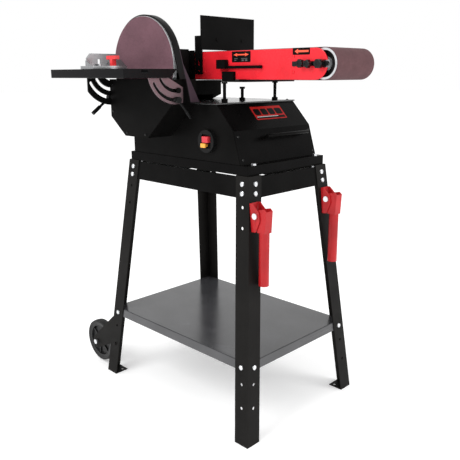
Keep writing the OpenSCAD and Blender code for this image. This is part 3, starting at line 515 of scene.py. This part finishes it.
# arrows of the belt's running direction on the red side plate
arm_face = frame_at(at(0, ARM_Y, 0), (1, 0, 0), (0, 0, 1))
decal("arm_label", rounded(125, 986, 191, 1013, 2.5), arm_face, 0.0, "label_black", "belt_arm")
decal("arm_label_arrow", [(131, 1004.8), (144, 1009), (144, 1006.4), (172, 1006.4), (172, 1009),
                          (185, 1004.8), (172, 1000.6), (172, 1003.2), (144, 1003.2),
                          (144, 1000.6)], arm_face, SHEET, "label_orange", "belt_arm", PRINT)
for i, (u0, v0, u1, v1) in enumerate(((134, 990, 141, 992), (134, 994.5, 146, 996),
                                      (158, 994.5, 180, 996), (160, 989, 168, 992.5),
                                      (172, 989, 180, 992.5))):
    decal("arm_label_bar" + str(i), rounded(u0, v0, u1, v1, 0.6), arm_face, SHEET,
          "label_grey", "belt_arm", PRINT)
decal("nose_label", rounded(327, 1000, 378, 1016, 2.0), arm_face, 0.0, "label_black",
      "belt_arm")
decal("nose_label_arrow", arrow(374, 333, 1008, 4.6, 10), arm_face, SHEET, "label_orange",
      "belt_arm", PRINT)

# plain name plate on the upper slope of the cover
slope = frame_at(at(COVER_X - SLOPE[0], 0, TRAY_Z + SLOPE[1]), (0, 1, 0), (-61, 0, 64.5))
decal("cover_label", rounded(-43, 30, 82, 75, 2), slope, 0.0, "label_red", "base")
decal("cover_label_inset", rounded(-39, 33, 78, 41.5, 1.2), slope, SHEET, "label_black", "base",
      THIN_PRINT)
decal("cover_label_line", rounded(-37, 38.6, 50, 40.4, 0.8), slope, SHEET + THIN_PRINT,
      "label_white", "base", THIN_PRINT)
for i, (u0, u1) in enumerate(((-38, -13), (-9, 16), (20, 45), (49, 77))):
    decal("cover_label_block" + str(i), rounded(u0, 45.5, u1, 67, 5), slope, SHEET,
          "label_black", "base", THIN_PRINT)

# the tracking knob, its lock and the cap of the idler axle
knob_span = (KNOB_Y, KNOB_Y + 14.3)
lobed_knob("knob_tracking", "tracking_knob", (IDLER_X - 57, AXIS_Z + 1), knob_span,
           r=9.3, amp=0.08, lobes=7, node_name="tracking_knob")
lobed_knob("knob_lock", "tracking_lock", (IDLER_X - 36, AXIS_Z), knob_span,
           r=9.1, amp=0.10, lobes=5, node_name="tracking_lock")
lobed_knob("knob_axle", "idler_link", (IDLER_X - 5, AXIS_Z), (KNOB_Y + 1, KNOB_Y + 11),
           r=10.5, amp=0.05, lobes=6)

# recess in each end of the idler drum
RECESS_IN, RECESS_OUT, RECESS_T = 16.3, 30.3, 1.2
bm = bmesh.new()
for y0 in (edge("idler_drum", 1, 0) + 9.1, edge("idler_drum", 1, 1) - 9.7):
    y1 = y0 + RECESS_T
    lathe(bm, [(r * MM, (y - y0) * MM) for r, y in ((RECESS_IN, y0), (RECESS_OUT, y0),
                                                   (RECESS_OUT, y1), (RECESS_IN, y1))],
          aim(at(IDLER_X, y0, AXIS_Z), (0, 1, 0)))
make("drum_recess", bm, "plastic", "idler_roller")

# screws of the arm plate, the disc housing, the cover, the top plate and the switch
screws("arm_screws", [((x, ARM_Y, z), (0, -1, 0)) for x in (20, 330)
                      for z in (AXIS_Z - 18, AXIS_Z + 18)], "red", "belt_arm", r=3.6, h=2.0)
screws("housing_screws", [((x, HOUSE_Y, z), (0, -1, 0)) for x, z in
                          ((-212, 930), (-212, 855), (46, 930), (46, 900), (-150, 797),
                           (-66, 797))], "knob", "base", r=3.4, h=1.8)
screws("cover_screws", [((COVER_X - SLOPE[0] * k / SLOPE[1], y, TRAY_Z + k),
                         (SLOPE[1], 0, SLOPE[0]))
                        for k in (12, 70) for y in (-146, 146)], "knob", "base", r=3.6, h=2.0)
screws("plate_screws", [((x, y, PLATE_Z), (0, 0, 1)) for x in (-214, 116) for y in (-146, 146)],
       "knob", "base", r=3.8, h=2.2)
SCREW_RING = 24
screws("switch_screws", [((SWITCH[0] + SCREW_RING * math.cos(a), SWITCH[1],
                           SWITCH[2] + SCREW_RING * math.sin(a)), (0, -1, 0))
                         for a in (2.2, 0.9, 4.05, 5.35)], "knob", "base", r=2.4, h=1.2)

# pressed louvres low on the back of the cabinet
LOUVRE_FOOT, LOUVRE_PITCH, LOUVRE_OUT = 29, 14, 4
bm = bmesh.new()
for i in range(6):
    z = TRAY_Z + LOUVRE_FOOT + LOUVRE_PITCH * i
    base = [at(x, BACK_Y, z + dz) for x, dz in ((20, 0), (110, 0), (110, 8), (20, 8))]
    front = [at(x, BACK_Y + LOUVRE_OUT, z + dz) for x, dz in ((24, 1), (106, 1), (110, 7), (20, 7))]
    b = [bm.verts.new(p) for p in base]
    f = [bm.verts.new(p) for p in front]
    bm.faces.new(b)
    bm.faces.new(f)
    for k in range(4):
        bm.faces.new([b[k], b[(k + 1) % 4], f[(k + 1) % 4], f[k]])
make("back_louvres", bm, "black", "base", smooth=False)

# hub rings, ribs and tread bands of the transport wheels
for tag in ("front", "back"):
    centre = at(*[middle("wheel_" + tag, i) for i in range(3)])
    bm = bmesh.new()
    for face in (-1, 1):
        lathe(bm, [(r * MM, h * MM) for r, h in ((10, 0), (14.5, 0), (14.5, 1.2), (12.6, 2.0),
                                                 (10, 2.0))],
              aim(centre + at(0, face * 14.6, 0), (0, face, 0)), 36)
    for k in range(6):
        a = math.radians(60 * k + 20)
        for face in (-1, 1):
            mid = centre + at(33 * math.cos(a), 0, 33 * math.sin(a))
            u = Vector((math.cos(a), 0, math.sin(a)))
            w = Vector((-math.sin(a), 0, math.cos(a)))
            pts = [mid + at(0, face * 4.2, 0) + u * (s * 16 * MM) + w * (q * 2 * MM)
                   for s, q in ((-1, -1), (1, -1), (1, 1), (-1, 1))]
            prism(bm, pts, at(0, face * 5.0, 0))
    make("hub_ribs_" + tag, bm, "hub", "wheel_" + tag)
    bm = bmesh.new()
    for y in (-10.5, -6.3, -2.1, 2.1, 6.3, 10.5):
        out = 70.35 if abs(y) < 5 else 69.9 if abs(y) < 8 else 68.9
        lathe(bm, [(60 * MM, (y - 1.5) * MM), (out * MM, (y - 1.5) * MM),
                   (out * MM, (y + 1.5) * MM), (60 * MM, (y + 1.5) * MM)],
              aim(centre, (0, 1, 0)), 72)
    make("tread_" + tag, bm, "rubber", "wheel_" + tag)

# ---------------------------------------------------------------- stage, light, camera


def set_stage():
    """A pale floor, white surroundings and two soft lights."""
    me = bpy.data.meshes.new("floor")
    r = 30.0
    me.from_pydata([(-r, -r, 0), (r, -r, 0), (r, r, 0), (-r, r, 0)], [], [(0, 1, 2, 3)])
    floor = bpy.data.objects.new("floor", me)
    bpy.context.scene.collection.objects.link(floor)
    m, t, s = material("floor_paper", (0.93, 0.93, 0.93), Specular_IOR_Level=0.1,
                       Emission_Color=(1, 1, 1, 1), Emission_Strength=0.22)
    roughen(t, s, noise(t, 2.0, 3), 0.85, 0.95)
    me.materials.append(m)

    world = bpy.data.worlds.new("studio")
    bpy.context.scene.world = world
    world.use_nodes = True
    bg = world.node_tree.nodes["Background"]
    bg.inputs["Color"].default_value = (1, 1, 1, 1)
    bg.inputs["Strength"].default_value = 1.0

    def area(name, loc, target, size, power):
        light = bpy.data.lights.new(name, "AREA")
        light.shape = "RECTANGLE"
        light.size, light.size_y = size
        light.energy = power
        ob = bpy.data.objects.new(name, light)
        bpy.context.scene.collection.objects.link(ob)
        ob.location = loc
        d = Vector(target) - Vector(loc)
        ob.rotation_euler = d.to_track_quat("-Z", "Y").to_euler()

    area("key", (-0.2, -2.6, 2.8), (0, 0, 0.7), (1.6, 1.6), 55)
    area("side", (2.9, 1.2, 1.9), (0, 0, 0.7), (1.4, 1.8), 30)


def set_camera():
    """The photograph's view, from the camera fit."""
    place = (1.267, -1.2605, 0.95657)
    pan, down, roll = 44.629, 14.493, -0.2215
    cam = bpy.data.cameras.new("camera")
    cam.lens = 47.2
    cam.sensor_width = 36.0
    ob = bpy.data.objects.new("camera", cam)
    bpy.context.scene.collection.objects.link(ob)
    ob.matrix_world = (Matrix.Translation(place)
                       @ Matrix.Rotation(math.radians(pan), 4, "Z")
                       @ Matrix.Rotation(math.radians(90 - down), 4, "X")
                       @ Matrix.Rotation(math.radians(roll), 4, "Z"))
    bpy.context.scene.camera = ob
    bpy.context.scene.view_settings.view_transform = "Standard"


set_stage()
set_camera()
